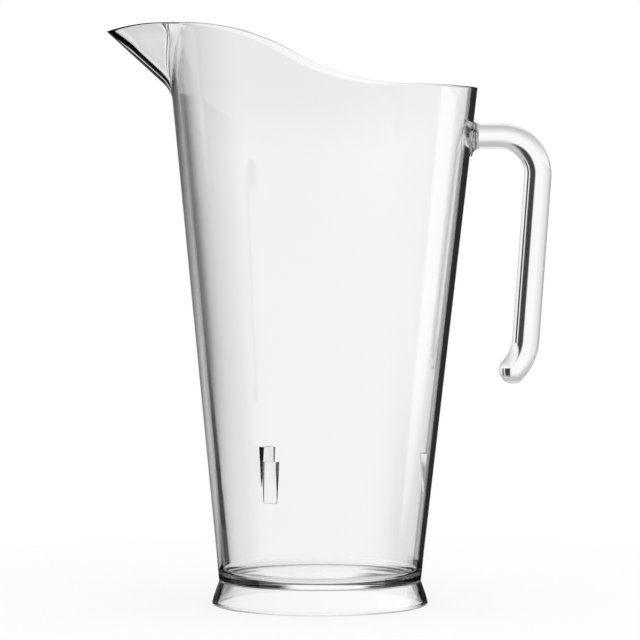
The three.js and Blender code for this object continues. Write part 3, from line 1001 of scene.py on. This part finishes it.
def studio_world(stage):
    """White to the camera and through the walls, with dark flags for the plastic's edges."""
    world = bpy.data.worlds.new("white_studio")
    world.use_nodes = True
    tree = world.node_tree
    tree.nodes.clear()
    way = add(tree, "ShaderNodeSeparateXYZ", [add(tree, "ShaderNodeTexCoord").outputs["Generated"]])
    x, y, z = way.outputs
    turn = calc(tree, "DEGREES", calc(tree, "ARCTAN2", x, y))
    lift = calc(tree, "DEGREES", calc(tree, "ARCSINE", z))
    aside = calc(tree, "ABSOLUTE", turn)
    path, one_piece, straight = light_path(tree)

    def ring(pairs, beyond):
        """A list of levels behind the jug, and another level beyond its ends."""
        past_ends = calc(tree, "GREATER_THAN", aside, float(pairs[-1][0] - 1))
        return blend(tree, past_ends, level_curve(tree, turn, pairs), beyond)

    # The room in front of the jug is dark on the beak side and pale on the handle side
    room_ends = {"From Min": -1.0, "From Max": 1.0, "To Min": ROOM_DARK, "To Max": ROOM_PALE}
    room = made(tree, "ShaderNodeMapRange", {"Value": x, **room_ends})
    off_window = calc(tree, "ABSOLUTE", calc(tree, "WRAP", turn, EIGHTH_TURN / 2, -EIGHTH_TURN / 2))
    windows = ease(tree, off_window, *WINDOW_EDGE, 1.0, stage.flag_level)
    side_flags = ease(tree, aside, *SIDE_FLAG_END, stage.flag_level, room)

    # Edges: light mirrored inside the plastic
    edges = ring(BEHIND_EDGES, side_flags)
    screen = level_curve(tree, lift, BEAK_SIDE_SCREEN)
    edges = blend(tree, within(tree, turn, *BEAK_SIDE), edges, screen)
    edges = blend(tree, fall(tree, lift, EDGES_BELOW), edges, side_flags)
    overhead = ease(tree, lift, *EDGES_OVERHEAD, OVERHEAD_LEVEL, 1.0)
    edges = blend(tree, climb(tree, lift, EDGES_ABOVE), edges, overhead)
    # Light mirrored in two or more pieces sees the table below as white
    down = times(tree, fall(tree, lift, TABLE_PAST_PIECES), inverse(tree, one_piece))
    down = calc(tree, "MAXIMUM", down, fall(tree, lift, TABLE_BELOW))
    edges = blend(tree, down, edges, TABLE_LEVEL)
    # Light mirrored once shows the room by the near wall, and white by the far wall and the crease
    once = calc(tree, "LESS_THAN", path["Glossy Depth"], 1.5)
    near_wall = times(tree, once, one_piece)
    far_wall = calc(tree, "SUBTRACT", once, near_wall)
    near_wall = times(tree, near_wall, climb(tree, lift, NEAR_WALL_LIFT))
    far_wall = times(tree, far_wall, climb(tree, lift, FAR_WALL_LIFT))
    crease = times(tree, far_wall, climb(tree, lift, CREASE_LIFT))
    for seen, span, shown in (
        (near_wall, NEAR_WALL_TURN, room),
        (far_wall, FAR_WALL_TURN, 1.0),
        (crease, CREASE_TURN, 1.0),
    ):
        edges = blend(tree, times(tree, seen, within(tree, turn, *span)), edges, shown)
    # Light mirrored three times or more is shown dark
    trapped = calc(tree, "GREATER_THAN", path["Glossy Depth"], 2.5)
    edges = blend(tree, trapped, edges, stage.flag_level)

    # Bars: light bent straight through one solid piece
    level_bars = times(tree, climb(tree, lift, BARS_FROM), fall(tree, lift, BARS_UP_TO))
    beside_bars = blend(tree, level_bars, 1.0, ring(BEHIND_BARS, windows))
    bars = times(tree, beside_bars, level_curve(tree, lift, OVER_BARS))

    # Walls: light that went straight through two or more pieces
    far_walls = blend(tree, stage.wall_contrast, 1.0, windows)
    low = fall(tree, lift, WALLS_LOW)
    walls = blend(tree, low, ring(BEHIND_WALLS, far_walls), ring(BEHIND_LOW_WALLS, far_walls))
    upper = times(tree, climb(tree, lift, UPPER_FROM), fall(tree, lift, UPPER_UP_TO))
    upper = times(tree, upper, fall(tree, turn, UPPER_TURN))
    dimmed = times(tree, calc(tree, "MAXIMUM", walls, UPPER_LEAST), UPPER_SHARE)
    walls = blend(tree, upper, walls, dimmed)
    walls = blend(tree, within(tree, lift, *WALLS_LEVEL), 1.0, walls)

    # Skin: what the outside mirrors
    through = blend(tree, straight, edges, blend(tree, one_piece, walls, bars))
    mirrored = blend(tree, within(tree, lift, *SKIN_LEVEL), room, ring(BEHIND_SKIN, room))

    # Light that passes the plastic counts as glossy too, so it is chosen after what the skin mirrors
    level = blend(tree, path["Is Glossy Ray"], stage.fill, mirrored)
    level = blend(tree, path["Is Transmission Ray"], level, through)
    level = blend(tree, path["Is Camera Ray"], level, 1.0)
    sky = made(tree, "ShaderNodeBackground", {"Color": level})
    add(tree, "ShaderNodeOutputWorld", {"Surface": sky})
    return world


def blank_material(name):
    """An empty material and its tree."""
    material = bpy.data.materials.new(name)
    material.use_nodes = True
    material.node_tree.nodes.clear()
    return material, material.node_tree


def end_material(tree, share_of_shader, shader):
    """Shows a share of a shader, and what lies behind it for the rest."""
    clear = made(tree, "ShaderNodeBsdfTransparent")
    mix = made(tree, "ShaderNodeMixShader", [share_of_shader, clear, shader])
    add(tree, "ShaderNodeOutputMaterial", {"Surface": mix})


def pale_floor(stage):
    """White to the camera and through the walls, with a share of its own shading for the shadow."""
    paper, tree = blank_material("pale_paper_floor")
    path, one_piece, straight = light_path(tree)
    through, glossy = path["Is Transmission Ray"], path["Is Glossy Ray"]
    seen = calc(tree, "MAXIMUM", path["Is Camera Ray"], through)
    seen = calc(tree, "MAXIMUM", seen, glossy)
    white = times(tree, seen, 1 - stage.shadow_share)
    matt = made(tree, "ShaderNodeBsdfDiffuse", {"Color": (*WHITE, 1.0)})
    glow = made(tree, "ShaderNodeEmission", {"Strength": stage.floor_level})
    paper_white = made(tree, "ShaderNodeMixShader", [white, matt, glow])
    # Bars and edges see the studio past the floor, and walls see only the floor near the foot
    place = add(tree, "ShaderNodeTexCoord").outputs["Object"]
    away = add(tree, "ShaderNodeVectorMath", [place], operation="LENGTH").outputs["Value"]
    near = fall(tree, away, FLOOR_FADE)
    shown = times(tree, near, times(tree, straight, inverse(tree, one_piece)))
    shown = blend(tree, through, near, shown)
    shown = blend(tree, glossy, 1.0, shown)
    end_material(tree, shown, paper_white)
    return paper


def flag_card(name, level, seen_by, fade=None, from_below=False):
    """An even level for one kind of light: "walls" is straight through several pieces, "edges" mirrored
    inside the plastic, "bars" through one piece or mirrored, and "skin" mirrored by the outside."""
    card, tree = blank_material(name)
    # A card that has a faded end goes from white to its level around the foot
    if fade:
        place = add(tree, "ShaderNodeTexCoord").outputs["Object"]
        x, y, _ = add(tree, "ShaderNodeSeparateXYZ", [place]).outputs
        around = calc(tree, "ABSOLUTE", calc(tree, "ARCTAN2", calc(tree, "SUBTRACT", x, FOOT_X), y))
        level = ease(tree, around, *fade, 1.0, level)
    path, one_piece, straight = light_path(tree)
    through, mirrored = path["Is Transmission Ray"], inverse(tree, straight)
    if seen_by == "bars":
        seen = times(tree, through, calc(tree, "MAXIMUM", one_piece, mirrored))
    elif seen_by == "walls":
        seen = times(tree, through, times(tree, inverse(tree, one_piece), straight))
    elif seen_by == "edges":
        seen = times(tree, through, mirrored)
    else:
        seen = times(tree, path["Is Glossy Ray"], inverse(tree, through))
    if from_below:
        seen = times(tree, seen, add(tree, "ShaderNodeNewGeometry").outputs["Backfacing"])
    end_material(tree, seen, made(tree, "ShaderNodeEmission", {"Strength": level}))
    return card


class JUG_OT_stage(bpy.types.Operator):
    """Sets the camera, the pale floor and the soft studio light"""

    bl_idname = "jug.stage"
    bl_label = "Studio"

    def execute(self, context):
        stage = context.scene.jug_stage
        self.add_floor(stage)
        self.add_cards(stage)
        context.scene.camera = self.add_camera(stage)
        self.add_lamp()
        context.scene.world = studio_world(stage)
        context.scene.view_settings.view_transform = "Standard"
        cycles = context.scene.cycles
        cycles.max_bounces = cycles.transmission_bounces = CLEAR_BOUNCES
        cycles.glossy_bounces = MIRROR_BOUNCES
        return {"FINISHED"}

    def add_floor(self, stage):
        work = bmesh.new()
        bmesh.ops.create_circle(work, cap_ends=True, segments=96, radius=stage.floor_radius)
        mesh = bpy.data.meshes.new("studio_floor")
        work.to_mesh(mesh)
        work.free()
        mesh.materials.append(pale_floor(stage))
        floor = placed("studio_floor", mesh)

    def add_cards(self, stage):
        """Black flags on both sides of the foot and by the beak, each for one kind of light."""
        dark, fade = stage.flag_level, stage.low_flag_fade
        for side, name in ((-1, "beak_side"), (1, "handle_side")):
            low_ends = sorted(side * a for a in stage.low_flag_span)
            skin_ends = sorted(side * a for a in stage.skin_flag_span)
            # A shelf for light that leaves the vessel's floor upwards
            shelf = flag_card(f"low_flag_bars_{name}", dark, "bars", fade, True)
            self.add_card(shelf, *(self.arc(r, stage.low_shelf_height, low_ends) for r in stage.low_shelf))
            edges = flag_card(f"low_flag_edges_{name}", dark, "edges", fade)
            radius = stage.low_flag_radius
            self.add_card(edges, *(self.arc(radius, z, low_ends) for z in stage.low_edge_flag))
            skin = flag_card(f"low_flag_skin_{name}", dark, "skin")
            self.add_card(skin, *(self.arc(stage.skin_flag_radius, z, skin_ends) for z in stage.skin_flag))
        # A black card beside the beak for its skin, and a grey one behind it
        beside = flag_card("side_flag_skin", dark, "skin")
        self.add_card(beside, *([(SIDE_CARD_X, y, z) for y in SIDE_CARD_Y] for z in SIDE_CARD_Z))
        behind = flag_card("side_flag_beak", BEAK_CARD_LEVEL, "walls")
        self.add_card(behind, *([(x, BEAK_CARD_Y, z) for x in BEAK_CARD_X] for z in BEAK_CARD_Z))

    def arc(self, radius, height, ends):
        """Points around the foot's centre, between two turns."""
        along = np.linspace(*ends, CARD_POINTS)
        return [(FOOT_X + radius * math.sin(a), radius * math.cos(a), height) for a in along]

    def add_card(self, material, first, second):
        """A card between two lines of points."""
        points = [point for pair in zip(first, second) for point in pair]
        steps = range(0, 2 * len(first) - 2, 2)
        mesh = bpy.data.meshes.new(material.name)
        mesh.from_pydata(points, [], [(i, i + 2, i + 3, i + 1) for i in steps])
        mesh.materials.append(material)
        card = placed(material.name, mesh)
        card.visible_camera = card.visible_diffuse = card.visible_shadow = False

    def add_camera(self, stage):
        data = bpy.data.cameras.new("photo_camera")
        data.lens = stage.lens
        camera = placed("photo_camera", data)
        aim = Vector((FOOT_X, 0, stage.aim_height))
        turn = stage.camera_turn
        away = Vector((math.sin(turn), -math.cos(turn), 0)) * stage.camera_distance
        camera.location = Vector((FOOT_X, 0, stage.camera_height)) + away
        camera.rotation_euler = (aim - camera.location).to_track_quat("-Z", "Y").to_euler()
        return camera

    def add_lamp(self):
        data = bpy.data.lights.new("overhead_softbox", "AREA")
        data.size = SOFTBOX_SIZE
        data.energy = SOFTBOX_POWER
        lamp = placed("overhead_softbox", data)
        lamp.location = SOFTBOX_PLACE
        lamp.rotation_euler = (-lamp.location).to_track_quat("-Z", "Y").to_euler()
        lamp.visible_glossy = lamp.visible_transmission = False


class JUG_PT_sidebar(bpy.types.Panel):
    """Lists the jug's pieces with their sizes"""

    bl_idname = "JUG_PT_sidebar"
    bl_label = "Clear cocktail jug"
    bl_space_type = "VIEW_3D"
    bl_region_type = "UI"
    bl_category = "Jug"

    def draw(self, context):
        for name, (_, operator) in GROUPS.items():
            box = self.layout.box()
            settings = getattr(context.scene, name)
            for size in settings.__annotations__:
                box.prop(settings, size)
            if operator:
                box.operator(operator.bl_idname)


GROUPS = {
    "jug_vessel": (JugVessel, JUG_OT_vessel),
    "jug_handle": (JugHandle, JUG_OT_handle),
    "jug_foot": (JugFoot, JUG_OT_foot),
    "jug_lugs": (JugLugs, JUG_OT_lugs),
    "jug_finish": (JugFinish, None),
    "jug_stage": (JugStage, JUG_OT_stage),
}
CLASSES = [cls for pair in GROUPS.values() for cls in pair if cls] + [JUG_PT_sidebar]


def register():
    for cls in CLASSES:
        bpy.utils.register_class(cls)
    for name, (group, _) in GROUPS.items():
        setattr(bpy.types.Scene, name, PointerProperty(type=group))


def unregister():
    for name in GROUPS:
        delattr(bpy.types.Scene, name)
    for cls in reversed(CLASSES):
        bpy.utils.unregister_class(cls)


def main():
    register()
    bpy.ops.jug.vessel()
    bpy.ops.jug.handle()
    bpy.ops.jug.foot()
    bpy.ops.jug.lugs()
    bpy.ops.jug.stage()


if __name__ == "__main__":
    main()
